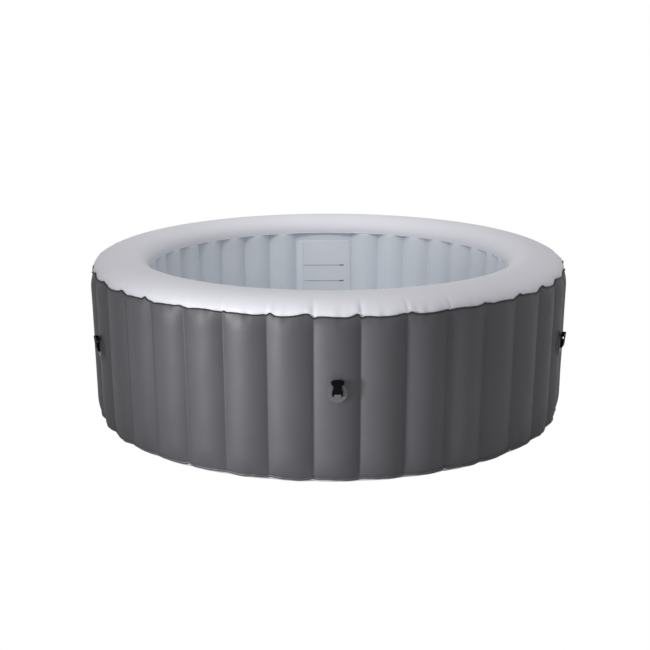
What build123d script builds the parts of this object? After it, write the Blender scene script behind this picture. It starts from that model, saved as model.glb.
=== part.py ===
from build123d import *
import math
import os

# Round inflatable hot tub, free-standing. Millimetres, +Z up.
# The origin is on the ground at the middle of the tub. The front is at -Y and the
# service side, with the hose fittings, is at +Y.
# A bearing is the angle round +Z from the front (-Y) towards +X.

# ---- driving dimensions of the air chamber ----
crest_radius = 1020.0          # outer channels, at the middle of each bulge
seam_radius = 998.0            # outer channels, where a web holds the skin in
inner_seam_radius = 795.0      # inner channels, where a web holds the skin
inner_crest_radius = 775.0     # inner channels, at the middle of each bulge
height = 700.0
skin = 3.0                     # skin thickness, a stand-in for about 1 mm PVC
channel_pitch = 9.7            # bearing from one channel to the next, degrees
channels_each_side = 17        # channels to the left and right of the front one

# ---- top ring and underside profile ----
ring_peak_radius = 871.0       # where the top ring is highest
ring_outer_sweep = 174.0       # profile radius outside the peak
ring_inner_sweep = 76.0        # profile radius inside the peak
outer_seam_height = 637.0      # where the top ring meets the dark wall
inner_seam_height = 625.0      # where the top ring meets the inner wall
foot_radius = 943.0            # the underside is flat out to here
foot_sweep = 64.8              # profile radius of the rounded bottom edge
base_seam_height = 34.0        # where the rounded bottom edge meets the dark wall
floor_radius = 799.0           # the bathers' floor sheet
weld_reach = 13.0              # how far a weld band reaches in from its skin

# ---- tension webs ----
web_thickness = 2.0
web_gap = 0.5                  # a web's weld is left as a small gap
web_bottom = 42.0
web_top = 610.0
web_hole_radius = 30.0
web_hole_count = 4

# ---- rear panels ----
level_panel_width = 276.0
level_panel_top = 584.0
level_panel_thickness = 3.0
service_panel_width = 330.0
service_panel_bottom = 40.0
service_panel_top = 330.0
service_panel_thickness = 6.0
panel_corner = 22.0

# ---- hose fittings through the chamber ----
fitting_clearance = 0.3        # between a tube and the hole it passes through
water_height = 150.0
water_offset = 82.0
air_height = 252.0
drain_height = 72.0
hose_bore = 16.0
hose_tube = 19.0               # outside radius of the free spigots and necks
drain_bore = 11.0
drain_tube = 14.0
sleeve_extra = 2.0             # the tube is thicker where it crosses the chamber
flange_extra = 15.0            # flange radius beyond the tube
flange_thickness = 5.0
gasket_thickness = 2.0
nut_extra = 12.0               # nut radius beyond the tube
nut_thickness = 11.0
nut_lobes = 8
inner_neck = 19.0              # neck inside the tub, for a stopper cap
drain_neck = 17.0              # neck outside the tub, for the drain cap

# ---- screw caps ----
cap_clearance = 0.35
cap_wall = 3.2
cap_top = 3.0
cap_skirt_end = 11.5           # how far a cap reaches along its neck
valve_cap_skirt_end = 6.5
cap_rib_count = 12
cap_rib_radius = 1.6
seal_thickness = 1.5
seal_width = 3.0

# ---- inflation valve ----
valve_bearing = 16 * channel_pitch
valve_height = 470.0
valve_flange_radius = 32.0
valve_flange_proud = 4.0
valve_body_radius = 18.0
valve_neck_radius = 16.0
valve_neck = 8.0
valve_bore = 12.0
valve_depth = 30.0
valve_seat_radius = 9.0
valve_seat_from = 22.0
valve_seat_thickness = 4.0
valve_hub_from = 14.0
valve_hub_thickness = 4.0
valve_hub_radius = 4.0
valve_spoke_width = 3.0
stem_radius = 2.0
stem_clearance = 0.05
button_radius = 6.0
button_thickness = 3.0
button_from = 2.0
poppet_radius = 11.0
poppet_thickness = 3.0
poppet_gap = 0.1
spring_coil_radius = 3.4
spring_wire_radius = 0.45
spring_turns = 4

# ---- cover buckles ----
buckle_bearings = {
    "front": 0.0,
    "right": 7 * channel_pitch,
    "left": -7 * channel_pitch,
    "rear_right": 14 * channel_pitch,
    "rear_left": -14 * channel_pitch,
}
buckle_bar_height = 354.0      # the strap bar, which is also the buckle's hinge
buckle_top = 412.0
buckle_reach = 20.0            # how far the mouth stands out from the channel crest
bar_stand_off = 11.5           # from the channel crest to the strap bar's axis
bar_radius = 2.5
cheek_radius = 4.7
mouth_width = 47.0
waist_width = 31.0
hip_width = 40.0
cheek_width = 38.0
mouth_arch = 6.0               # rise of the mouth's curved top edge
mouth_wall = 2.2
mouth_depth = 24.0             # height of the buckle's full-thickness mouth end
lip_height = 16.0              # from the mouth down to the release windows
window_height = 17.0
socket_depth = 34.0
patch_height = 361.0
patch_radius = 48.5
patch_proud = 2.0
boss_radius = 36.0
boss_proud = 4.5
boss_step_radius = 24.0
boss_step_proud = 6.0
webbing_width = 25.0
webbing_thickness = 2.0
webbing_slack = 0.3
webbing_tail = 10.0

rear_reach = crest_radius + buckle_reach   # the hose spigots end as far back as the front buckle

os.makedirs("parts", exist_ok=True)


def save(name, shape):
    export_step(shape, f"parts/{name}.step")


def turned(shape, bearing):
    """Turn something made at the front round to its bearing."""
    return Rot(0, 0, bearing) * shape


def plan_point(radius, bearing):
    angle = math.radians(bearing)
    return (radius * math.sin(angle), -radius * math.cos(angle))


def rod_y(radius, y_low, y_high, x=0.0, z=0.0):
    """A round rod along Y from y_low to y_high."""
    rod = Cylinder(radius, y_high - y_low, align=(Align.CENTER, Align.CENTER, Align.MIN))
    return Pos(x, y_low, z) * Rot(-90, 0, 0) * rod


def block(x_low, x_high, y_low, y_high, z_low, z_high):
    box = Box(x_high - x_low, y_high - y_low, z_high - z_low, align=Align.MIN)
    return Pos(x_low, y_low, z_low) * box


# ---- the channelled walls ----

seam_bearings = [
    (step + 0.5) * channel_pitch
    for step in range(-channels_each_side - 1, channels_each_side + 1)
]
rear_half_angle = 180.0 - seam_bearings[-1]


def channelled_prism(seam, crest, z_low, z_high):
    """A solid whose plan is an arc for each channel and a flat side at the rear."""
    edges = []
    for start, end in zip(seam_bearings, seam_bearings[1:]):
        middle = plan_point(crest, (start + end) / 2)
        edges.append(ThreePointArc(plan_point(seam, start), middle, plan_point(seam, end)))
    edges.append(Line(plan_point(seam, seam_bearings[-1]), plan_point(seam, seam_bearings[0])))
    return Pos(0, 0, z_low) * extrude(make_face(edges), amount=z_high - z_low)


def drum(radius, z_low, z_high):
    return Pos(0, 0, z_low) * Cylinder(
        radius, z_high - z_low, align=(Align.CENTER, Align.CENTER, Align.MIN)
    )


def rear_flat(seam):
    """Distance from the middle of the tub to the flat rear side."""
    return seam * math.cos(math.radians(rear_half_angle))


outer_flat_y = rear_flat(seam_radius)
inner_flat_y = rear_flat(inner_seam_radius)
wall_bottom = base_seam_height + skin
wall_top = outer_seam_height - skin
liner_bottom = 2 * skin
liner_top = inner_seam_height - skin


def outer_wall(holes):
    shell = channelled_prism(seam_radius, crest_radius, wall_bottom, wall_top)
    shell -= channelled_prism(seam_radius - skin, crest_radius - skin, wall_bottom, wall_top)
    return shell - holes


def inner_wall(holes):
    outer_seam = inner_seam_radius + skin
    outer_crest = inner_crest_radius + skin
    shell = channelled_prism(outer_seam, outer_crest, liner_bottom, liner_top)
    shell -= channelled_prism(inner_seam_radius, inner_crest_radius, liner_bottom, liner_top)
    return shell - holes


def chord_reach(sweep, drop):
    """Half chord of a circle of radius sweep at a distance drop from its centre."""
    return math.sqrt(sweep**2 - drop**2)


def top_ring():
    """Domed band made of two arcs that meet level at the peak."""
    outer_centre = height - ring_outer_sweep
    inner_centre = height - ring_inner_sweep
    outer_drop = outer_seam_height - outer_centre
    inner_drop = inner_seam_height - inner_centre

    def side(sweep, centre, drop, sign):
        end = (ring_peak_radius + sign * chord_reach(sweep, drop), centre + drop)
        angle = math.atan2(drop, chord_reach(sweep, drop))
        half_way = (angle + math.pi / 2) / 2
        middle = (
            ring_peak_radius + sign * sweep * math.cos(half_way),
            centre + sweep * math.sin(half_way),
        )
        return end, middle, (ring_peak_radius, centre + sweep)

    a_end, a_mid, peak = side(ring_outer_sweep, outer_centre, outer_drop, 1)
    b_end, b_mid, _ = side(ring_inner_sweep, inner_centre, inner_drop, -1)
    c_end, c_mid, under_peak = side(ring_outer_sweep - skin, outer_centre, outer_drop, 1)
    d_end, d_mid, _ = side(ring_inner_sweep - skin, inner_centre, inner_drop, -1)
    edges = [
        ThreePointArc(a_end, a_mid, peak),
        ThreePointArc(peak, b_mid, b_end),
        Line(b_end, d_end),
        ThreePointArc(d_end, d_mid, under_peak),
        ThreePointArc(under_peak, c_mid, c_end),
        Line(c_end, a_end),
    ]
    return revolve(Plane.XZ * make_face(edges), Axis.Z)


def chamber_base():
    """Flat annulus under the chamber, with a rounded outer edge."""
    drop = foot_sweep - base_seam_height
    outer_end = (foot_radius + chord_reach(foot_sweep, drop), base_seam_height)
    inner_sweep = foot_sweep - skin
    inner_end = (foot_radius + chord_reach(inner_sweep, drop), base_seam_height)
    lean = math.atan2(drop, chord_reach(foot_sweep, drop))
    half_way = (lean + math.pi / 2) / 2

    def middle(sweep):
        return (foot_radius + sweep * math.cos(half_way), foot_sweep - sweep * math.sin(half_way))

    edges = [
        Line((floor_radius, 0), (foot_radius, 0)),
        ThreePointArc((foot_radius, 0), middle(foot_sweep), outer_end),
        Line(outer_end, inner_end),
        ThreePointArc(inner_end, middle(inner_sweep), (foot_radius, skin)),
        Line((foot_radius, skin), (floor_radius, skin)),
        Line((floor_radius, skin), (floor_radius, 0)),
    ]
    return revolve(Plane.XZ * make_face(edges), Axis.Z)


def outer_weld(z_low):
    band = channelled_prism(seam_radius, crest_radius, z_low, z_low + skin)
    return band - drum(seam_radius - weld_reach, z_low, z_low + skin)


def inner_weld(z_low):
    band = drum(inner_seam_radius + weld_reach, z_low, z_low + skin)
    return band - channelled_prism(inner_seam_radius, inner_crest_radius, z_low, z_low + skin)


def tension_webs():
    """One radial web behind every seam, with holes that let the air through."""
    inner_end = inner_seam_radius + skin + web_gap
    outer_end = seam_radius - skin - web_gap
    middle = (inner_end + outer_end) / 2
    web = block(-web_thickness / 2, web_thickness / 2, -outer_end, -inner_end, web_bottom, web_top)
    spacing = (web_top - web_bottom) / web_hole_count
    for step in range(web_hole_count):
        hole = Rot(0, 90, 0) * Cylinder(web_hole_radius, 2 * web_thickness)
        web -= Pos(0, -middle, web_bottom + (step + 0.5) * spacing) * hole
    return Compound(children=[turned(web, bearing) for bearing in seam_bearings])


# ---- rear panels ----


def upright_panel(width, z_low, z_high, y_low, thickness, rounded):
    """A flat plate facing Y, with all its corners or only its top ones rounded."""
    panel = block(-width / 2, width / 2, y_low, y_low + thickness, z_low, z_high)
    corners = panel.edges().filter_by(Axis.Y)
    if rounded == "top":
        corners = corners.group_by(Axis.Z)[-1]
    return fillet(corners, panel_corner)


def level_panel(holes):
    y_low = inner_flat_y - level_panel_thickness
    panel = upright_panel(
        level_panel_width, liner_bottom, level_panel_top, y_low, level_panel_thickness, "top"
    )
    return panel - holes


def service_panel(holes):
    panel = upright_panel(
        service_panel_width,
        service_panel_bottom,
        service_panel_top,
        outer_flat_y,
        service_panel_thickness,
        "all",
    )
    return panel - holes


# ---- hose fittings ----

level_face_y = inner_flat_y - level_panel_thickness
service_face_y = outer_flat_y + service_panel_thickness
flange_y = level_face_y - gasket_thickness - flange_thickness
nut_y = service_face_y + gasket_thickness

fittings = {
    "water_inlet": (-water_offset, water_height, hose_bore, hose_tube, inner_neck, rear_reach),
    "water_outlet": (water_offset, water_height, hose_bore, hose_tube, inner_neck, rear_reach),
    "air_inlet": (0.0, air_height, hose_bore, hose_tube, inner_neck, rear_reach),
    "drain": (0.0, drain_height, drain_bore, drain_tube, 0.0, nut_y + nut_thickness + drain_neck),
}


def fitting_hole(x, z, tube):
    return rod_y(tube + sleeve_extra + fitting_clearance, inner_flat_y - 60, outer_flat_y + 60, x, z)


def fitting_tube(x, z, bore, tube, neck, rear_end):
    """Moulded tube with its inside flange, from the tub's inside to behind the tub."""
    front_end = flange_y - neck
    body = rod_y(tube, front_end, rear_end, x, z)
    body += rod_y(tube + flange_extra, flange_y, flange_y + flange_thickness, x, z)
    body += rod_y(tube + sleeve_extra, flange_y, nut_y + nut_thickness, x, z)
    return body - rod_y(bore, front_end, rear_end, x, z)


def washer_y(inner, outer, y_low, thickness, x, z):
    return rod_y(outer, y_low, y_low + thickness, x, z) - rod_y(inner, y_low, y_low + thickness, x, z)


def fitting_gaskets():
    rings = []
    front_y = level_face_y - gasket_thickness
    for x, z, _, tube, _, _ in fittings.values():
        inner = tube + sleeve_extra + fitting_clearance
        rings.append(washer_y(inner, tube + flange_extra, front_y, gasket_thickness, x, z))
        rings.append(washer_y(inner, tube + nut_extra, service_face_y, gasket_thickness, x, z))
    return Compound(children=rings)


def lock_nut(x, z, tube):
    """Round nut with lobes to grip."""
    outer = tube + nut_extra
    nut = rod_y(outer - 3, nut_y, nut_y + nut_thickness, x, z)
    for step in range(nut_lobes):
        angle = 2 * math.pi * step / nut_lobes
        lobe_x = x + (outer - 5) * math.cos(angle)
        lobe_z = z + (outer - 5) * math.sin(angle)
        nut += rod_y(5, nut_y, nut_y + nut_thickness, lobe_x, lobe_z)
    return nut - rod_y(tube + sleeve_extra + fitting_clearance, nut_y, nut_y + nut_thickness, x, z)


def lock_nuts():
    return Compound(children=[lock_nut(x, z, tube) for x, z, _, tube, _, _ in fittings.values()])


# ---- screw caps ----


def screw_cap(neck, skirt_end):
    """Cup that screws over a neck. The neck ends at y=0 and the cap's skirt runs to skirt_end."""
    inside = neck + cap_clearance
    outside = inside + cap_wall
    closed_end = -seal_thickness - cap_top
    cap = rod_y(outside, closed_end, skirt_end)
    cap -= rod_y(inside, -seal_thickness, skirt_end)
    for step in range(cap_rib_count):
        angle = 2 * math.pi * step / cap_rib_count
        rib_x = outside * math.cos(angle)
        rib_z = outside * math.sin(angle)
        cap += rod_y(cap_rib_radius, closed_end + 1, skirt_end - 1, rib_x, rib_z)
    return cap


def cap_seal(neck):
    """Loose ring between a neck's end and its cap."""
    return washer_y(neck - seal_width, neck, -seal_thickness, seal_thickness, 0, 0)


def stopper_place(x, z):
    """Inside the tub, with the cap towards the middle of the tub."""
    return Pos(x, flange_y - inner_neck, z)


def drain_cap_place():
    """Behind the tub, with the cap facing back."""
    end = nut_y + nut_thickness + drain_neck
    return Pos(0, end, drain_height) * Rot(0, 0, 180)


# ---- inflation valve, made at the front with its channel's crest at y=0 ----


def valve_place(shape):
    return turned(Pos(0, -crest_radius, valve_height) * shape, valve_bearing)


def valve_flange():
    plate = rod_y(valve_flange_radius, -valve_flange_proud, 30)
    plate -= rod_y(valve_body_radius, -valve_flange_proud, 30)
    at_front = Pos(0, -crest_radius, valve_height) * plate
    at_front -= channelled_prism(seam_radius, crest_radius, valve_height - 50, valve_height + 50)
    return turned(at_front, valve_bearing)


def valve_body():
    """Tube with a seat for the poppet and a spoked guide for its stem."""
    neck_end = -valve_flange_proud - valve_neck
    body = rod_y(valve_body_radius, -valve_flange_proud, valve_depth)
    body += rod_y(valve_neck_radius, neck_end, -valve_flange_proud)
    body -= rod_y(valve_bore, neck_end, valve_depth)
    seat = rod_y(valve_bore, valve_seat_from, valve_seat_from + valve_seat_thickness)
    body += seat - rod_y(valve_seat_radius, valve_seat_from, valve_seat_from + valve_seat_thickness)
    guide_end = valve_hub_from + valve_hub_thickness
    half_spoke = valve_spoke_width / 2
    body += rod_y(valve_hub_radius, valve_hub_from, guide_end)
    body += block(-valve_bore, valve_bore, valve_hub_from, guide_end, -half_spoke, half_spoke)
    body += block(-half_spoke, half_spoke, valve_hub_from, guide_end, -valve_bore, valve_bore)
    body -= rod_y(stem_radius + stem_clearance, valve_hub_from, guide_end)
    return valve_place(body)


def valve_poppet():
    """Disc on a stem, with a button on the stem's outer end."""
    disc_from = valve_seat_from + valve_seat_thickness + poppet_gap
    poppet = rod_y(stem_radius, button_from, disc_from + poppet_thickness)
    poppet += rod_y(button_radius, button_from, button_from + button_thickness)
    poppet += rod_y(poppet_radius, disc_from, disc_from + poppet_thickness)
    return valve_place(poppet)


def valve_spring():
    """Coil between the stem's button and the guide."""
    low = button_from + button_thickness + spring_wire_radius
    high = valve_hub_from - spring_wire_radius
    length = high - low
    path = Helix(pitch=length / spring_turns, height=length, radius=spring_coil_radius)
    section = Plane(origin=path @ 0, z_dir=path % 0) * Circle(spring_wire_radius)
    coil = sweep(section, path=path)
    return valve_place(Pos(0, low, 0) * Rot(-90, 0, 0) * coil)


def valve_cap():
    neck_end = -valve_flange_proud - valve_neck
    return valve_place(Pos(0, neck_end, 0) * screw_cap(valve_neck_radius, valve_cap_skirt_end))


def valve_seal():
    neck_end = -valve_flange_proud - valve_neck
    return valve_place(Pos(0, neck_end, 0) * cap_seal(valve_neck_radius))


# ---- cover buckles, made at the front ----

bar_y = -crest_radius - bar_stand_off
back_y = bar_y + cheek_radius
mouth_y = -crest_radius - buckle_reach


def buckle_outline():
    """Front view of the buckle: wide mouth, waist at the release windows, hips and cheeks."""
    half = [
        (mouth_width / 2, buckle_top - mouth_arch),
        (mouth_width / 2, buckle_top - mouth_arch - 6),
        (waist_width / 2, buckle_top - 22),
        (waist_width / 2, buckle_top - 34),
        (hip_width / 2, buckle_top - 45),
        (cheek_width / 2, buckle_bar_height - cheek_radius),
    ]
    mirrored = [(-x, z) for x, z in reversed(half)]
    top_edge = ThreePointArc(mirrored[-1], (0, buckle_top), half[0])
    return make_face(Polyline(*half, *mirrored) + top_edge)


def buckle_side():
    """Side view: flat back, thick mouth, tapering to a round end about the strap bar."""
    low_front = (bar_y - cheek_radius, buckle_bar_height)
    edges = [
        Line((back_y, buckle_bar_height), (back_y, buckle_top)),
        Line((back_y, buckle_top), (mouth_y, buckle_top)),
        Line((mouth_y, buckle_top), (mouth_y, buckle_top - mouth_depth)),
        Line((mouth_y, buckle_top - mouth_depth), low_front),
        ThreePointArc(low_front, (bar_y, buckle_bar_height - cheek_radius), (back_y, buckle_bar_height)),
    ]
    return make_face(edges)


def buckle():
    front_view = extrude(Plane.XZ * buckle_outline(), amount=crest_radius + 100)
    side_view = extrude(Plane.YZ * buckle_side(), amount=mouth_width, both=True)
    body = front_view & side_view
    depth_low = mouth_y + mouth_wall
    depth_high = back_y - mouth_wall
    socket_half = mouth_width / 2 - mouth_wall - 1
    throat_half = waist_width / 2 - mouth_wall
    socket_bottom = buckle_top - socket_depth
    window_top = buckle_top - lip_height
    window_bottom = window_top - window_height
    body -= block(-socket_half, socket_half, depth_low, depth_high, buckle_top - 9, buckle_top)
    body -= block(-throat_half, throat_half, depth_low, depth_high, socket_bottom, buckle_top)
    body -= block(-mouth_width, mouth_width, depth_low, depth_high, window_bottom, window_top)
    slot_half = webbing_width / 2 + 1
    slot_bottom = buckle_bar_height - cheek_radius - 1
    slot_top = buckle_bar_height + bar_radius + webbing_slack + webbing_thickness + 0.5
    body -= block(-slot_half, slot_half, mouth_y, back_y, slot_bottom, slot_top)
    bar = Pos(0, bar_y, buckle_bar_height) * Rot(0, 90, 0) * Cylinder(bar_radius, 2 * slot_half + 2)
    return body + bar


def buckle_patch():
    z_low, z_high = patch_height - patch_radius, patch_height + patch_radius
    shell = channelled_prism(seam_radius + patch_proud, crest_radius + patch_proud, z_low, z_high)
    shell -= channelled_prism(seam_radius, crest_radius, z_low, z_high)
    return shell & rod_y(patch_radius, -crest_radius - 10, -seam_radius, 0, patch_height)


def buckle_boss():
    """Stepped round pad welded on the patch."""
    disc = rod_y(boss_radius, -crest_radius - boss_proud, -seam_radius, 0, patch_height)
    disc += rod_y(boss_step_radius, -crest_radius - boss_step_proud, -seam_radius, 0, patch_height)
    z_low, z_high = patch_height - patch_radius, patch_height + patch_radius
    seam = seam_radius + patch_proud
    crest = crest_radius + patch_proud
    return disc - channelled_prism(seam, crest, z_low, z_high)


def webbing_tab():
    """Webbing looped round the strap bar, with its tail fixed to the boss."""
    inner = bar_radius + webbing_slack
    outer = inner + webbing_thickness
    loop = Rot(0, 90, 0) * (Cylinder(outer, webbing_width) - Cylinder(inner, webbing_width))
    tab = Pos(0, bar_y, buckle_bar_height) * loop
    face = -crest_radius - boss_step_proud
    half = webbing_width / 2
    tail_end = buckle_bar_height - webbing_tail
    tail = block(-half, half, face - webbing_thickness, face, tail_end, buckle_bar_height)
    return tab + tail


def on_every_buckle(shape):
    return Compound(children=[turned(shape, bearing) for bearing in buckle_bearings.values()])


# ---- write every sub-part ----

fitting_holes = [fitting_hole(x, z, tube) for x, z, _, tube, _, _ in fittings.values()]
valve_hole = valve_place(rod_y(valve_body_radius + fitting_clearance, -50, 50))

save("outer_wall", outer_wall(fitting_holes + [valve_hole]))
save("inner_wall", inner_wall(fitting_holes))
save("top_ring", top_ring())
save("chamber_base", chamber_base())
save("tub_floor", drum(floor_radius, 0, skin))
save("outer_top_weld", outer_weld(wall_top))
save("outer_bottom_weld", outer_weld(base_seam_height))
save("inner_top_weld", inner_weld(liner_top))
save("inner_floor_weld", inner_weld(skin))
save("tension_webs", tension_webs())
save("level_panel", level_panel(fitting_holes))
save("service_panel", service_panel(fitting_holes))

for name, (x, z, bore, tube, neck, rear_end) in fittings.items():
    save(f"{name}_tube", fitting_tube(x, z, bore, tube, neck, rear_end))
    if name == "drain":
        place = drain_cap_place()
        save("drain_cap", place * screw_cap(drain_tube, cap_skirt_end))
        save("drain_seal", place * cap_seal(drain_tube))
    else:
        place = stopper_place(x, z)
        save(f"{name}_cap", place * screw_cap(hose_tube, cap_skirt_end))
        save(f"{name}_seal", place * cap_seal(hose_tube))
save("fitting_gaskets", fitting_gaskets())
save("lock_nuts", lock_nuts())

save("valve_flange", valve_flange())
save("valve_body", valve_body())
save("valve_poppet", valve_poppet())
save("valve_spring", valve_spring())
save("valve_seal", valve_seal())
save("valve_cap", valve_cap())

save("buckle_patches", on_every_buckle(buckle_patch()))
save("buckle_bosses", on_every_buckle(buckle_boss()))
save("webbing_tabs", on_every_buckle(webbing_tab()))
for name, bearing in buckle_bearings.items():
    save(f"buckle_{name}", turned(buckle(), bearing))
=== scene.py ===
"""The looks of a round inflatable hot tub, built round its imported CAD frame. Metres, +Z up."""

import math
import random

import bpy
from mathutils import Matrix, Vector, noise


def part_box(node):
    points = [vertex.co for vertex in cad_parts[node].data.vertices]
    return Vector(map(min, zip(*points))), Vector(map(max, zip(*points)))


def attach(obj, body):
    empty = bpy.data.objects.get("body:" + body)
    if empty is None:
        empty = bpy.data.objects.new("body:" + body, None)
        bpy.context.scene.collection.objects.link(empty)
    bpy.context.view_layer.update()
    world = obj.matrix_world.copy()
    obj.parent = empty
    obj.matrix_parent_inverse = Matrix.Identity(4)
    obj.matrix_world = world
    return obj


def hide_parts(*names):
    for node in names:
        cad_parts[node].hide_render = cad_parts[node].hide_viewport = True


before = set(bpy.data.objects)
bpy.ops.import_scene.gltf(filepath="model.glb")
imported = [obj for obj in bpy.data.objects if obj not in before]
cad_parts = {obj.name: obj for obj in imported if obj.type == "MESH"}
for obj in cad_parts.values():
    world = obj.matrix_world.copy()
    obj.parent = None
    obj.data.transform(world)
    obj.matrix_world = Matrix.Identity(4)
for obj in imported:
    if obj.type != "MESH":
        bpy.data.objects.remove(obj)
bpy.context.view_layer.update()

# ---- driving sizes, most of them read from the frame ----

wall_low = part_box("outer_wall")[0]
ring_low, ring_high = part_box("top_ring")
panel_low, panel_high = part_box("level_panel")
FLOOR_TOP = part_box("tub_floor")[1].z

CREST = -wall_low.y                 # outer channels, at the middle of each bulge
SEAM = CREST - 0.022                # outer channels, at the grooves
TOP = ring_high.z                   # highest line of the ring
TOP_WELD = ring_low.z + 0.012       # height where the ring meets the dark wall
BASE_WELD = 0.021                   # height where the dark wall meets the underside
RING_PEAK = 0.871                   # radius of the ring's highest line
RING_EDGE = SEAM + 0.009            # the ring's outer edge, leaving out its ripples
RIPPLE_REACH = 0.030                # how far up the ring its weld's ripples run
INNER_SEAM = 0.795                  # inner channels, at the grooves
INNER_BULGE = 0.021
INNER_WELD = ring_low.z             # height where the ring meets the inner wall
FOOT = 0.964                        # the underside is flat out to this radius
CHANNEL = math.radians(9.7)         # bearing from one channel to the next
SIDE_CHANNELS = 17                  # channels to each side of the front one
CHANNEL_BULGE = 0.0256              # from a channel's chord to its crest
REAR_BULGE = 0.004
TOP_TAPER = 0.075                   # height over which the outer channels flatten to their top weld
BASE_TAPER = 0.085                  # and to their bottom weld
RIM_TAPER = 0.008                   # the same for the inner channels, at the ring
FLOOR_TAPER = 0.05                  # and at the floor
DOME_SHARE = 0.6                    # share of the ring's rows from its outer weld to its highest line
FLAT_SHARE = 0.4                    # share of the underside's rows on its flat part
STEP_HEIGHT = 0.019                 # rise of the top weld by a groove, at the tub's sides
STEP_SHARE = 0.16                   # share of a channel that the rise takes

random.seed(20)

seams = [(step + 0.5) * CHANNEL for step in range(-SIDE_CHANNELS - 1, SIDE_CHANNELS + 1)]
spans = list(zip(seams, seams[1:])) + [(seams[-1], seams[0] + 2 * math.pi)]
REAR = len(spans) - 1


# ---- small helpers ----


def clamp(value):
    return max(0.0, min(1.0, value))


def smooth(value):
    """0 below 0, 1 above 1, and an S between."""
    value = clamp(value)
    return value * value * (3 - 2 * value)


def bump_at(value, centre, width):
    return math.exp(-(((value - centre) / width) ** 2))


def around(radius, bearing, height):
    """A point at a bearing round +Z from the front, which is -Y."""
    return Vector((radius * math.sin(bearing), -radius * math.cos(bearing), height))


def new_object(name, vertices, faces, material):
    mesh = bpy.data.meshes.new(name)
    mesh.from_pydata(vertices, [], faces)
    mesh.validate()
    mesh.update()
    for polygon in mesh.polygons:
        polygon.use_smooth = True
    mesh.materials.append(material)
    made = bpy.data.objects.new(name, mesh)
    bpy.context.collection.objects.link(made)
    return made


def grid_faces(row_count, columns):
    """Quads between rows of points, where the last column joins the first."""
    faces = []
    for row in range(row_count - 1):
        for column in range(columns):
            here = row * columns + column
            beside = row * columns + (column + 1) % columns
            faces.append((here, beside, beside + columns, here + columns))
    return faces


def grid_object(name, rows, material):
    """A quad skin through rows of points that go right round."""
    vertices = [point for row in rows for point in row]
    return new_object(name, vertices, grid_faces(len(rows), len(rows[0])), material)


def swept_ring(name, path, section, material):
    """A closed band. Its section is a loop of (out, up) offsets from each point of its path."""
    rows = [
        [around(radius + out, bearing, height + up) for radius, bearing, height in path]
        for out, up in section
    ]
    return grid_object(name, rows + [rows[0]], material)


def place(piece, body, slot, *nodes):
    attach(piece, body)
    if nodes:
        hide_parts(*nodes)
    return piece


# ---- materials ----


class Nodes:
    """Short names for building one material's nodes."""

    def __init__(self, name):
        self.material = bpy.data.materials.new(name)
        self.material.use_nodes = True
        self.tree = self.material.node_tree
        self.shader = self.tree.nodes["Principled BSDF"]
        self.place = self.add("ShaderNodeTexCoord").outputs["Object"]

    def add(self, kind, **inputs):
        node = self.tree.nodes.new(kind)
        for key, value in inputs.items():
            node.inputs[key.replace("_", " ")].default_value = value
        return node

    def link(self, source, target):
        self.tree.links.new(source, target)

    def noise(self, scale, detail=3.0, stretch=None):
        texture = self.add("ShaderNodeTexNoise", Scale=scale, Detail=detail, Roughness=0.55)
        self.link(self.stretched(stretch), texture.inputs["Vector"])
        return texture.outputs["Fac"]

    def cells(self, scale):
        texture = self.add("ShaderNodeTexVoronoi", Scale=scale)
        self.link(self.place, texture.inputs["Vector"])
        return texture.outputs["Distance"]

    def waves(self, scale, axis):
        texture = self.add("ShaderNodeTexWave", Scale=scale, Distortion=0.0)
        texture.bands_direction = axis
        self.link(self.place, texture.inputs["Vector"])
        return texture.outputs["Fac"]

    def stretched(self, stretch):
        if stretch is None:
            return self.place
        mapping = self.add("ShaderNodeMapping")
        mapping.inputs["Scale"].default_value = stretch
        self.link(self.place, mapping.inputs["Vector"])
        return mapping.outputs["Vector"]

    def remap(self, source, low, high):
        """Spreads a noise's usual values, 0.25 to 0.75, from low to high."""
        node = self.add("ShaderNodeMapRange")
        node.inputs["From Min"].default_value = 0.25
        node.inputs["From Max"].default_value = 0.75
        node.inputs["To Min"].default_value = low
        node.inputs["To Max"].default_value = high
        self.link(source, node.inputs["Value"])
        return node.outputs["Result"]

    def ramp(self, source, low_colour, high_colour, low=0.3, high=0.7):
        node = self.add("ShaderNodeValToRGB")
        node.color_ramp.elements[0].position = low
        node.color_ramp.elements[0].color = (*low_colour, 1)
        node.color_ramp.elements[1].position = high
        node.color_ramp.elements[1].color = (*high_colour, 1)
        self.link(source, node.inputs["Fac"])
        return node.outputs["Color"]

    def bump(self, source, distance, strength=1.0, normal=None):
        node = self.add("ShaderNodeBump", Distance=distance, Strength=strength)
        self.link(source, node.inputs["Height"])
        if normal is not None:
            self.link(normal, node.inputs["Normal"])
        return node.outputs["Normal"]

    def finish(self, colour=None, roughness=None, normal=None, **values):
        for source, socket in ((colour, "Base Color"), (roughness, "Roughness"), (normal, "Normal")):
            if source is not None:
                self.link(source, self.shader.inputs[socket])
        for key, value in values.items():
            self.shader.inputs[key.replace("_", " ")].default_value = value
        return self.material


def tinted(colour, factor):
    return tuple(channel * factor for channel in colour)


def laminated_pvc(name, colour, roughness, mottle=0.08, shine=0.42):
    """PVC skin: fine embossed grain over faint, wide unevenness, and patchy sheen."""
    nodes = Nodes(name)
    wide = nodes.noise(2.3, detail=4)
    shade = nodes.ramp(wide, tinted(colour, 1 - mottle), tinted(colour, 1 + mottle))
    dull = nodes.remap(nodes.noise(9.0), roughness - 0.05, roughness + 0.07)
    slack = nodes.bump(nodes.noise(14.0, detail=2), 0.0009, 0.5)
    normal = nodes.bump(nodes.cells(900.0), 0.00006, 0.8, slack)
    return nodes.finish(shade, dull, normal, Specular_IOR_Level=shine)


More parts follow.
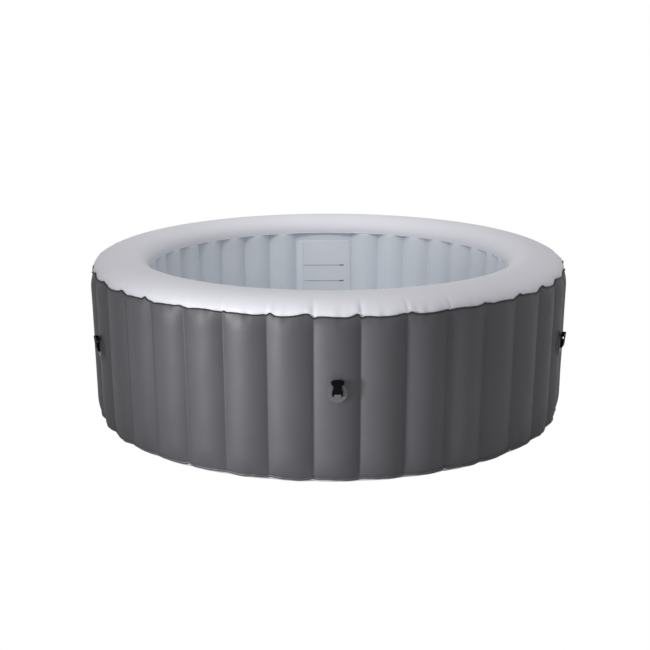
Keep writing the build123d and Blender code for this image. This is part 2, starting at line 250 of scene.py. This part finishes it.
def moulded_plastic(name, colour, roughness, shine=0.5):
    """Injection-moulded plastic: slight orange peel, and scuffs that catch the light."""
    nodes = Nodes(name)
    scuffs = nodes.noise(160.0, detail=6, stretch=(1, 1, 4))
    shade = nodes.ramp(scuffs, tinted(colour, 0.88), tinted(colour, 1.18), 0.35, 0.8)
    dull = nodes.remap(scuffs, roughness - 0.06, roughness + 0.12)
    normal = nodes.bump(nodes.noise(700.0, detail=2), 0.00003)
    return nodes.finish(shade, dull, normal, Specular_IOR_Level=shine)


def rubber(name):
    nodes = Nodes(name)
    dust = nodes.noise(220.0, detail=5)
    shade = nodes.ramp(dust, (0.012, 0.012, 0.012), (0.035, 0.034, 0.032))
    return nodes.finish(shade, nodes.remap(dust, 0.65, 0.85), nodes.bump(dust, 0.00005))


def woven(name, colour, pitch):
    """Webbing: two crossed sets of ribs at the yarn pitch."""
    nodes = Nodes(name)
    scale = 1 / (pitch * 20)            # a wave texture of scale 1 repeats 20 times a metre
    weave = nodes.add("ShaderNodeMath")
    weave.operation = "MULTIPLY"
    nodes.link(nodes.waves(scale, "Z"), weave.inputs[0])
    nodes.link(nodes.waves(scale, "DIAGONAL"), weave.inputs[1])
    shade = nodes.ramp(weave.outputs["Value"], tinted(colour, 0.85), tinted(colour, 1.2), 0.1, 0.8)
    return nodes.finish(shade, None, nodes.bump(weave.outputs["Value"], 0.0003), Roughness=0.85)


def wire(name):
    nodes = Nodes(name)
    drawn = nodes.noise(900.0, stretch=(1, 1, 12))
    shade = nodes.ramp(drawn, (0.45, 0.45, 0.46), (0.65, 0.65, 0.66))
    return nodes.finish(shade, nodes.remap(drawn, 0.22, 0.4), Metallic=1.0)


def printed(name, colour):
    """Printed ink, a little worn."""
    nodes = Nodes(name)
    wear = nodes.noise(420.0, detail=5)
    shade = nodes.ramp(wear, colour, tinted(colour, 1.35), 0.45, 0.8)
    return nodes.finish(shade, nodes.remap(wear, 0.4, 0.6), nodes.bump(wear, 0.00002))


WALL_GREY = (0.066, 0.064, 0.072)
RING_GREY = (0.58, 0.58, 0.625)
LINER_GREY = (0.60, 0.63, 0.675)

wall_pvc = laminated_pvc("wall_pvc", WALL_GREY, 0.5)
# Painted shade: the top weld lip is a quarter as light as the wall. Besides the lip's own dark edge, it
# carries the dark crease and shadow under the ring's edge.
lip_pvc_painted_shade = laminated_pvc("lip_pvc_painted_shade", tinted(WALL_GREY, 0.25), 0.6)
ring_pvc = laminated_pvc("ring_pvc", RING_GREY, 0.48, mottle=0.02, shine=0.2)
liner_pvc = laminated_pvc("liner_pvc", LINER_GREY, 0.45, mottle=0.03)
panel_pvc = laminated_pvc("panel_pvc", tinted(LINER_GREY, 0.98), 0.38, mottle=0.02)
# Painted highlight: the raised strip down the panel's left edge is tinted a little lighter than the
# liner, to stand for the light along that edge.
strip_pvc_painted_highlight = laminated_pvc("strip_pvc_painted_highlight", tinted(LINER_GREY, 1.02), 0.35, mottle=0.02)
base_pvc = laminated_pvc("base_pvc", (0.55, 0.55, 0.565), 0.5)
web_pvc = laminated_pvc("web_pvc", (0.7, 0.7, 0.68), 0.6)
boss_pvc = laminated_pvc("boss_pvc", tinted(WALL_GREY, 1.2), 0.3, shine=0.9)
service_plastic = moulded_plastic("service_plastic", (0.11, 0.11, 0.115), 0.5)
fitting_plastic = moulded_plastic("fitting_plastic", (0.38, 0.39, 0.41), 0.38)
cap_plastic = moulded_plastic("cap_plastic", (0.27, 0.28, 0.30), 0.36)
valve_plastic = moulded_plastic("valve_plastic", (0.07, 0.07, 0.075), 0.4)
buckle_plastic = moulded_plastic("buckle_plastic", (0.0022, 0.0022, 0.0027), 0.42, shine=0.06)
seal_rubber = rubber("seal_rubber")
webbing_weave = woven("webbing_weave", (0.12, 0.12, 0.125), 0.0012)
spring_wire = wire("spring_wire")
red_ink = printed("red_ink", (0.30, 0.17, 0.16))
grey_ink = printed("grey_ink", (0.20, 0.20, 0.21))
tick_ink = printed("tick_ink", (0.14, 0.14, 0.15))


# ---- the chamber's shape ----

# A weld line rises and falls along each channel, with a pucker beside each groove. Lengths are
# in metres, and shift, width and droop_at are shares of a channel. Rise, dip and sway shape the
# top weld, and notch and droop the bottom one. Phase shifts the small ripples of both.
puckers = [
    {
        "shift": random.uniform(-0.17, 0.17),
        "rise": random.uniform(0.004, 0.012),
        "width": random.uniform(0.09, 0.24),
        "dip": random.uniform(0.004, 0.008),
        "sway": random.uniform(-0.003, 0.004),
        "phase": random.uniform(0, 6.28),
        "notch": random.choice((0.0, 0.0, 0.001, 0.003, 0.006)),
        "droop": random.uniform(0.001, 0.005),
        "droop_at": random.uniform(0.3, 0.85),
    }
    for _ in spans
]


def across(span, share):
    """Bearing at a share of the way across a channel."""
    start, end = spans[span]
    return start + (end - start) * share


def chord_dip(span, share):
    """How far a channel's chord lies inside the circle through its grooves, as a factor."""
    start, end = spans[span]
    half = (end - start) / 2
    return math.cos(half) / math.cos((share - 0.5) * 2 * half)


def groove_events(span, share):
    """The grooves at both ends of a channel: (pucker, distance from it in channels)."""
    return (puckers[span], share), (puckers[(span + 1) % len(spans)], share - 1)


def weld_step(span, share):
    """A slow fall across a channel, away from the front, and a quick rise by its far groove."""
    bearing = across(span, share)
    forward = share if math.sin(bearing) < 0 else 1 - share
    saw = forward - 0.5 if forward > STEP_SHARE else 0.5 - forward * (1 / STEP_SHARE - 1)
    return STEP_HEIGHT * saw * math.sin(bearing) ** 2


def weld_wave(span, share):
    """Height of the top weld above its mean line."""
    here = puckers[span]
    height = here["sway"] * math.sin(math.pi * share) + 0.0016 * math.sin(7 * share + here["phase"])
    height += weld_step(span, share)
    for pucker, away in groove_events(span, share):
        steep = 0.35 if away > pucker["shift"] else 1.0
        height += pucker["rise"] * bump_at(away, pucker["shift"], pucker["width"] * steep)
        height -= pucker["dip"] * bump_at(away, 0, 0.05)
    return height


def base_wave(span, share):
    """Height of the bottom weld above its mean line, with a notch at some of the grooves."""
    here = puckers[span]
    height = 0.0012 * math.sin(5 * share + here["phase"])
    height -= here["droop"] * bump_at(share, here["droop_at"], 0.22) * math.sin(math.pi * share) ** 0.5
    for pucker, away in groove_events(span, share):
        height += pucker["notch"] * bump_at(away, pucker["shift"] * 0.4, 0.045)
    return height


def folds(span, share, from_weld, reach):
    """Small folds that run away from a weld and die out."""
    here = puckers[span]
    fade = math.exp(-from_weld / reach)
    ripple = math.sin(19 * share + here["phase"]) + 0.6 * math.sin(31 * share + 2 * here["phase"])
    edge = math.sin(math.pi * share) ** 0.5
    return 0.0011 * ripple * fade * edge


def wall_point(span, share, level):
    """The dark wall. level is 0 at the bottom weld and 1 at the top weld."""
    height = BASE_WELD + (TOP_WELD - BASE_WELD) * level
    near_top = clamp((height - TOP_WELD + TOP_TAPER) / TOP_TAPER)
    near_base = clamp((BASE_WELD + BASE_TAPER - height) / BASE_TAPER)
    bulge = CHANNEL_BULGE if span != REAR else REAR_BULGE
    bulge *= 1 - 0.66 * near_top**2.4 - 0.50 * near_base**2.2
    groove = SEAM + 0.0035 * near_top**2 - 0.002 * near_base**2
    radius = groove * chord_dip(span, share) + bulge * 4 * share * (1 - share)
    radius += folds(span, share, TOP_WELD - height, 0.022)
    radius += 0.8 * folds(span, share, height - BASE_WELD, 0.018)
    unevenness = noise.noise(Vector((across(span, share) * 9, height * 7, 3.1)))
    radius += 0.0022 * unevenness * math.sin(math.pi * share)
    height += weld_wave(span, share) * near_top**1.3 + base_wave(span, share) * near_base**1.3
    return radius, across(span, share), height


def quarter_turn(share):
    return share * math.pi / 2


def ring_point(span, share, level):
    """The pale ring. level is 0 at the outer weld, and 1 at the inner weld."""
    outer_radius, bearing, outer_height = wall_point(span, share, 1.0)
    inner_radius = liner_point(span, share, 1.0)[0]
    if level < DOME_SHARE:
        turn = quarter_turn(level / DOME_SHARE)
        radius = RING_PEAK + (RING_EDGE - RING_PEAK) * math.cos(turn)
        height = TOP_WELD + (TOP - TOP_WELD) * math.sin(turn) ** 0.93
        ripple = math.exp(-(RING_EDGE - radius + (height - TOP_WELD)) / RIPPLE_REACH)
        radius += (outer_radius - RING_EDGE) * ripple
        height += (outer_height - TOP_WELD) * ripple
    else:
        turn = quarter_turn((1 - level) / (1 - DOME_SHARE))
        radius = RING_PEAK - (RING_PEAK - inner_radius) * math.cos(turn)
        height = INNER_WELD + (TOP - INNER_WELD) * math.sin(turn)
    from_weld = outer_radius - radius
    for pucker, away in groove_events(span, share):
        dent = bump_at(away, pucker["shift"] * 0.5, 0.10) * math.exp(-from_weld / 0.03)
        height -= 0.0014 * dent * clamp(from_weld / 0.012)
    height += folds(span, share, from_weld, 0.03) * 0.15 * clamp(from_weld / 0.01)
    return radius, bearing, height


def liner_point(span, share, level):
    """The pale inner wall, which bulges towards the middle. level is 0 at the floor."""
    height = FLOOR_TOP + (INNER_WELD - FLOOR_TOP) * level
    near_top = smooth((height - INNER_WELD + RIM_TAPER) / RIM_TAPER)
    near_floor = clamp((FLOOR_TOP + FLOOR_TAPER - height) / FLOOR_TAPER)
    bulge = INNER_BULGE if span != REAR else 0.0
    flat = INNER_SEAM * chord_dip(span, share)
    filled = flat - bulge * (1 - 0.6 * near_floor**2) * 4 * share * (1 - share)
    radius = filled + (INNER_SEAM - INNER_BULGE - filled) * near_top
    radius += 0.0012 * noise.noise(Vector((across(span, share) * 11, height * 8, 7.7)))
    return radius, across(span, share), height


def skin_rows(point, levels, shares):
    """Rows of points round the tub, at the given levels and shares of every channel."""
    return [
        [around(*point(span, share, level)) for span in range(len(spans)) for share in shares]
        for level in levels
    ]


def even(count, crowd=0.0):
    """count + 1 shares from 0 to 1, crowded towards both ends by a share of crowd."""
    shares = []
    for step in range(count + 1):
        share = step / count
        shares.append(share * (1 - crowd) + crowd * (1 - math.cos(math.pi * share)) / 2)
    return shares


CHANNEL_SHARES = even(22, 0.6)[:-1]     # columns across a channel, closer by its grooves
CHANNEL_COLUMNS = len(CHANNEL_SHARES)


# ---- cloth simulation of the dark wall ----

CUT_FULLNESS = 1.05                 # the cut skin's bulge, over the bulge of the filled wall
CUT_LENGTH = 1.006                  # the cut skin's height, over the height between its welds
CLOTH_FRAMES = 20
CLOTH_LIMIT = 0.012                 # no point may move further than this


def cut_point(span, share, level):
    """The wall's skin as it was cut: just as full at its ends as in the middle."""
    bulge = CUT_FULLNESS * (CHANNEL_BULGE if span != REAR else REAR_BULGE)
    radius = SEAM * chord_dip(span, share) + bulge * 4 * share * (1 - share)
    height = BASE_WELD + (TOP_WELD - BASE_WELD) * level
    return radius, across(span, share), height * CUT_LENGTH


def add_cloth(skin, held, rest_shape):
    cloth = skin.modifiers.new("inflate", "CLOTH")
    settings = cloth.settings
    settings.vertex_group_mass = held
    settings.rest_shape_key = rest_shape
    settings.quality = 5
    settings.mass = 0.25
    settings.tension_stiffness = 30
    settings.compression_stiffness = 30
    settings.shear_stiffness = 12
    settings.bending_stiffness = 0.4
    settings.use_pressure = True
    settings.uniform_pressure_force = 8
    settings.effector_weights.gravity = 0
    cloth.collision_settings.use_collision = False
    cloth.point_cache.frame_end = CLOTH_FRAMES
    return cloth


def inflate(skin, rows, cut_rows):
    """Blow up a skin that is held at its welds and grooves, so that its spare cloth puckers."""
    columns = len(rows[0])
    skin.shape_key_add(name="filled")
    cut = skin.shape_key_add(name="cut")
    for index, spot in enumerate(spot for row in cut_rows for spot in row):
        cut.data[index].co = spot
    skin.active_shape_key_index = 0
    held = skin.vertex_groups.new(name="held")
    last_row = len(rows) - 1
    for row in range(len(rows)):
        for column in range(columns):
            if row in (0, last_row) or column % CHANNEL_COLUMNS == 0:
                held.add([row * columns + column], 1.0, "REPLACE")
    cloth = add_cloth(skin, "held", cut)
    for frame_number in range(1, CLOTH_FRAMES + 1):
        bpy.context.scene.frame_set(frame_number)
    evaluated = skin.evaluated_get(bpy.context.evaluated_depsgraph_get())
    filled = [vertex.co.copy() for vertex in evaluated.data.vertices]
    skin.modifiers.remove(cloth)
    skin.shape_key_clear()
    for vertex, spot in zip(skin.data.vertices, filled):
        move = spot - vertex.co
        if move.length > CLOTH_LIMIT:
            move *= CLOTH_LIMIT / move.length
        vertex.co += move
    skin.data.update()
    bpy.context.scene.frame_set(1)


def make_wall():
    levels = even(48, 0.6)
    rows = skin_rows(wall_point, levels, CHANNEL_SHARES)
    skin = grid_object("wall_skin", rows, wall_pvc)
    inflate(skin, rows, skin_rows(cut_point, levels, CHANNEL_SHARES))
    place(skin, "tub", "wall_pvc", "outer_wall")


def make_ring():
    rows = skin_rows(ring_point, even(56, 0.2), CHANNEL_SHARES)
    skin = grid_object("ring_skin", rows, ring_pvc)
    place(skin, "tub", "ring_pvc", "top_ring")


def make_liner():
    rows = skin_rows(liner_point, even(60, 0.6), CHANNEL_SHARES)
    for row in rows:
        row.reverse()
    skin = grid_object("liner_skin", rows, liner_pvc)
    place(skin, "tub", "liner_pvc", "inner_wall")


def base_point(span, share, level):
    """The pale underside, from its flat part out and up to the bottom weld."""
    weld_radius, bearing, weld_height = wall_point(span, share, 0.0)
    if level < FLAT_SHARE:
        return INNER_SEAM + (FOOT - INNER_SEAM) * level / FLAT_SHARE, bearing, 0.0
    turn = quarter_turn((level - FLAT_SHARE) / (1 - FLAT_SHARE))
    radius = FOOT + (weld_radius - FOOT) * math.sin(turn)
    return radius, bearing, weld_height * (1 - math.cos(turn))


def make_base():
    rows = skin_rows(base_point, even(22), CHANNEL_SHARES)
    skin = grid_object("base_skin", rows, base_pvc)
    place(skin, "tub", "ring_pvc", "chamber_base")


def make_floor():
    """Floor sheet with a few soft, wide creases."""
    rings = 46
    columns = 180
    edge = INNER_SEAM + 0.004
    vertices = [Vector((0, 0, FLOOR_TOP))]
    for ring in range(1, rings + 1):
        for column in range(columns):
            spot = around(edge * ring / rings, 2 * math.pi * column / columns, 0.0)
            crease = noise.noise(Vector((spot.x * 5, spot.y * 5, 0.4)))
            spot.z = FLOOR_TOP + 0.0025 * abs(crease)
            vertices.append(spot)
    faces = [(0, 1 + column, 1 + (column + 1) % columns) for column in range(columns)]
    for inner, inner_next, outer_next, outer in grid_faces(rings, columns):
        faces.append((1 + inner, 1 + outer, 1 + outer_next, 1 + inner_next))
    floor = new_object("floor_sheet", vertices, faces, liner_pvc)
    place(floor, "tub", "liner_pvc", "tub_floor")


def rounded_section(width, thickness):
    """A flattened loop, as (out, up) offsets."""
    count = 10
    loop = []
    for step in range(count):
        angle = 2 * math.pi * step / count
        loop.append((width / 2 * math.cos(angle), thickness / 2 * math.sin(angle)))
    return loop


def weld_path(point, level, out_by, raise_by):
    path = []
    for span in range(len(spans)):
        for share in CHANNEL_SHARES:
            radius, bearing, height = point(span, share, level)
            path.append((radius + out_by, bearing, height + raise_by))
    return path


WELDS = (
    # name, CAD node, slot and material; then skin, its level there, (out, up) from it, (width, thickness)
    (
        # the lip's darker grey is partly painted shade for the crease under the ring
        "top_weld_lip", "outer_top_weld", "wall_pvc", lip_pvc_painted_shade,
        wall_point, 1.0, (0.0015, -0.002), (0.010, 0.0055),
    ),
    (
        "base_weld_lip", "outer_bottom_weld", "wall_pvc", wall_pvc,
        wall_point, 0.0, (0.0015, 0.0), (0.006, 0.011),
    ),
    (
        "inner_weld_bead", "inner_top_weld", "ring_pvc", liner_pvc,
        liner_point, 1.0, (-0.0005, 0.0), (0.002, 0.004),
    ),
    (
        "floor_weld_band", "inner_floor_weld", "liner_pvc", liner_pvc,
        liner_point, 0.0, (-0.004, 0.002), (0.02, 0.004),
    ),
)


def make_welds():
    for name, node, slot, material, point, level, offset, section in WELDS:
        weld = swept_ring(name, weld_path(point, level, *offset), rounded_section(*section), material)
        place(weld, "tub", slot, node)


# ---- the level panel ----


def rounded_outline(middle, width, low, high, top_radius):
    """Outline of an upright plate as (x, z), anticlockwise seen from -Y."""
    steps = 8
    bottom_radius = 0.001
    corners = (
        (width / 2 - bottom_radius, low + bottom_radius, bottom_radius, -90),
        (width / 2 - top_radius, high - top_radius, top_radius, 0),
        (-width / 2 + top_radius, high - top_radius, top_radius, 90),
        (-width / 2 + bottom_radius, low + bottom_radius, bottom_radius, 180),
    )
    outline = []
    for x, z, radius, start in corners:
        for step in range(steps + 1):
            angle = math.radians(start + 90 * step / steps)
            outline.append((middle + x + radius * math.cos(angle), z + radius * math.sin(angle)))
    return outline


def plate(name, outline, back_y, front_y, edge, material):
    """A closed plate with softened front edges. The front faces -Y."""
    middle_x = sum(x for x, _ in outline) / len(outline)
    middle_z = (min(z for _, z in outline) + max(z for _, z in outline)) / 2
    half_x = max(x for x, _ in outline) - middle_x
    half_z = max(z for _, z in outline) - middle_z
    # each row's depth, and how far it is inside the outline, as a share of the soft edge
    row_places = ((back_y, 0.0), (front_y + edge, 0.0), (front_y + 0.3 * edge, 0.3), (front_y, 1.0))
    vertices = []
    for depth, inset in row_places:
        shrink_x = 1 - inset * edge / half_x
        shrink_z = 1 - inset * edge / half_z
        for x, z in outline:
            across_x = middle_x + (x - middle_x) * shrink_x
            up_z = middle_z + (z - middle_z) * shrink_z
            vertices.append(Vector((across_x, depth, up_z)))
    count = len(outline)
    faces = grid_faces(len(row_places), count)
    last = (len(row_places) - 1) * count
    faces.append(tuple(last + column for column in range(count)))
    faces.append(tuple(reversed(range(count))))
    return new_object(name, vertices, faces, material)


LEVELS = (("maximum", 0.459, red_ink), ("minimum", 0.379, grey_ink))    # heights of the lines
PANEL_RADIUS = 0.022
PANEL_EDGE = 0.0028
STRIP_WIDTH = 0.030
STRIP_INSET = 0.004                 # from the panel's left and top edges
STRIP_RADIUS = 0.012
LINE = {"middle": -0.002, "width": 0.192, "thickness": 0.0024, "radius": 0.001, "proud": 0.0006}
TICK = {"middle": 0.090, "width": 0.022, "thickness": 0.006, "radius": 0.002, "proud": 0.0009}


def make_plate(name, outline, sunk, proud, edge, material):
    """A plate on the level panel: sunk behind the panel's front, and proud of it."""
    front = panel_low.y
    piece = plate(name, outline, front + sunk, front - proud, edge, material)
    place(piece, "tub", "panel_pvc")


def make_print(name, bar, height, ink):
    """A printed bar on the level panel, with its middle at a height."""
    low = height - bar["thickness"] / 2
    high = height + bar["thickness"] / 2
    outline = rounded_outline(bar["middle"], bar["width"], low, high, bar["radius"])
    make_plate(name, outline, 0.0002, bar["proud"], 0.0003, ink)


def make_level_panel():
    width = panel_high.x - panel_low.x
    outline = rounded_outline(0, width, panel_low.z, panel_high.z, PANEL_RADIUS)
    panel = plate("level_plate", outline, panel_high.y, panel_low.y, PANEL_EDGE, panel_pvc)
    place(panel, "tub", "panel_pvc", "level_panel")
    # The raised strip down the panel's left edge. Its shape is a real raised edge; its lighter tint is
    # painted highlight.
    strip_middle = STRIP_INSET + STRIP_WIDTH / 2 - width / 2
    strip_top = panel_high.z - STRIP_INSET
    outline = rounded_outline(strip_middle, STRIP_WIDTH, panel_low.z, strip_top, STRIP_RADIUS)
    make_plate("level_strip", outline, 0.0004, 0.0012, 0.0009, strip_pvc_painted_highlight)
    for label, height, ink in LEVELS:
        make_print(f"{label}_line", LINE, height, ink)
        make_print(f"{label}_tick", TICK, height, tick_ink)


# ---- finishes of the CAD pieces that show as they are ----


def dress(node, material, bevel):
    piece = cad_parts[node]
    piece.data.materials.clear()
    piece.data.materials.append(material)
    if bevel:
        soften = piece.modifiers.new("soften", "BEVEL")
        soften.width = bevel
        soften.segments = 3
        soften.limit_method = "ANGLE"
        soften.angle_limit = math.radians(35)


FINISHES = {
    # CAD node: its material, and the width of its softened edges
    "tension_webs": (web_pvc, 0.0),
    "service_panel": (service_plastic, 0.0012),
    "water_inlet_tube": (fitting_plastic, 0.0006),
    "water_outlet_tube": (fitting_plastic, 0.0006),
    "air_inlet_tube": (fitting_plastic, 0.0006),
    "drain_tube": (fitting_plastic, 0.0006),
    "lock_nuts": (cap_plastic, 0.0008),
    "water_inlet_cap": (cap_plastic, 0.0006),
    "water_outlet_cap": (cap_plastic, 0.0006),
    "air_inlet_cap": (cap_plastic, 0.0006),
    "drain_cap": (cap_plastic, 0.0006),
    "water_inlet_seal": (seal_rubber, 0.0),
    "water_outlet_seal": (seal_rubber, 0.0),
    "air_inlet_seal": (seal_rubber, 0.0),
    "drain_seal": (seal_rubber, 0.0),
    "valve_seal": (seal_rubber, 0.0),
    "fitting_gaskets": (seal_rubber, 0.0),
    "valve_flange": (boss_pvc, 0.001),
    "valve_body": (valve_plastic, 0.0004),
    "valve_poppet": (valve_plastic, 0.0003),
    "valve_cap": (valve_plastic, 0.0005),
    "valve_spring": (spring_wire, 0.0),
    "buckle_patches": (wall_pvc, 0.0006),
    "buckle_bosses": (boss_pvc, 0.0009),
    "webbing_tabs": (webbing_weave, 0.0004),
    "buckle_front": (buckle_plastic, 0.0009),
    "buckle_left": (buckle_plastic, 0.0009),
    "buckle_right": (buckle_plastic, 0.0009),
    "buckle_rear_left": (buckle_plastic, 0.0009),
    "buckle_rear_right": (buckle_plastic, 0.0009),
}


def dress_cad_pieces():
    for node, (material, bevel) in FINISHES.items():
        dress(node, material, bevel)


# ---- camera, light and floor ----

CAMERA_DISTANCE = 5.10 * CREST
CAMERA_BEARING = math.radians(-1.8)
CAMERA_ELEVATION = math.radians(18.2)
LENS = 63.6

AMBIENT = 0.64                      # brightness of the studio away from its lights
LIGHTS = (
    # name, place, aim, width, spread in degrees, watts
    ("key", (-2.8, -2.6, 0.7), (0.9, -1.10, 0.18), 1.0, 54, 16),
    ("top", (-0.2, 0.3, 4.6), (0, 0, 0), 3.0, 180, 40),
    ("inner", (-0.9, -0.8, 2.5), (0.15, 0.80, 0.44), 0.8, 40, 1.7),
)


def make_camera():
    camera_data = bpy.data.cameras.new("camera")
    camera_data.lens = LENS
    camera_data.sensor_width = 36.0
    camera_data.shift_x = -0.0054
    camera_data.shift_y = 0.1148
    camera_data.clip_end = 60
    camera = bpy.data.objects.new("camera", camera_data)
    level = CAMERA_DISTANCE * math.cos(CAMERA_ELEVATION)
    camera.location = around(level, CAMERA_BEARING, CAMERA_DISTANCE * math.sin(CAMERA_ELEVATION))
    camera.rotation_euler = (-camera.location).to_track_quat("-Z", "Y").to_euler()
    bpy.context.collection.objects.link(camera)
    bpy.context.scene.camera = camera


def area_light(name, place_at, aim_at, size, spread, power):
    light_data = bpy.data.lights.new(name, "AREA")
    light_data.shape = "DISK"
    light_data.size = size
    light_data.spread = math.radians(spread)
    light_data.energy = power
    light = bpy.data.objects.new(name, light_data)
    light.location = place_at
    light.rotation_euler = (Vector(aim_at) - Vector(place_at)).to_track_quat("-Z", "Y").to_euler()
    bpy.context.collection.objects.link(light)


def make_world():
    """A dim studio all round that the camera sees as plain white."""
    world = bpy.data.worlds.new("studio")
    world.use_nodes = True
    tree = world.node_tree
    background = tree.nodes["Background"]
    background.inputs["Color"].default_value = (1, 1, 1, 1)
    seen = tree.nodes.new("ShaderNodeLightPath").outputs["Is Camera Ray"]
    strength = tree.nodes.new("ShaderNodeMapRange")
    strength.inputs["To Min"].default_value = AMBIENT
    strength.inputs["To Max"].default_value = 1.0
    tree.links.new(seen, strength.inputs["Value"])
    tree.links.new(strength.outputs["Result"], background.inputs["Strength"])
    bpy.context.scene.world = world


def make_ground():
    """A pale floor that bounces light but isn't seen, as the tub stands on plain white."""
    nodes = Nodes("floor_pale")
    grain = nodes.noise(3.0)
    nodes.finish(nodes.ramp(grain, (0.70, 0.70, 0.71), (0.76, 0.76, 0.77)), Roughness=0.9)
    size = 40.0
    corners = [
        Vector((x, y, -0.0005)) for x, y in ((-size, -size), (size, -size), (size, size), (-size, size))
    ]
    ground = new_object("ground", corners, [(0, 1, 2, 3)], nodes.material)
    ground.visible_camera = False


def make_studio():
    make_world()
    make_ground()
    for light in LIGHTS:
        area_light(*light)
    bpy.context.scene.view_settings.view_transform = "Standard"


make_camera()
make_wall()
make_ring()
make_liner()
make_base()
make_floor()
make_welds()
make_level_panel()
dress_cad_pieces()
make_studio()
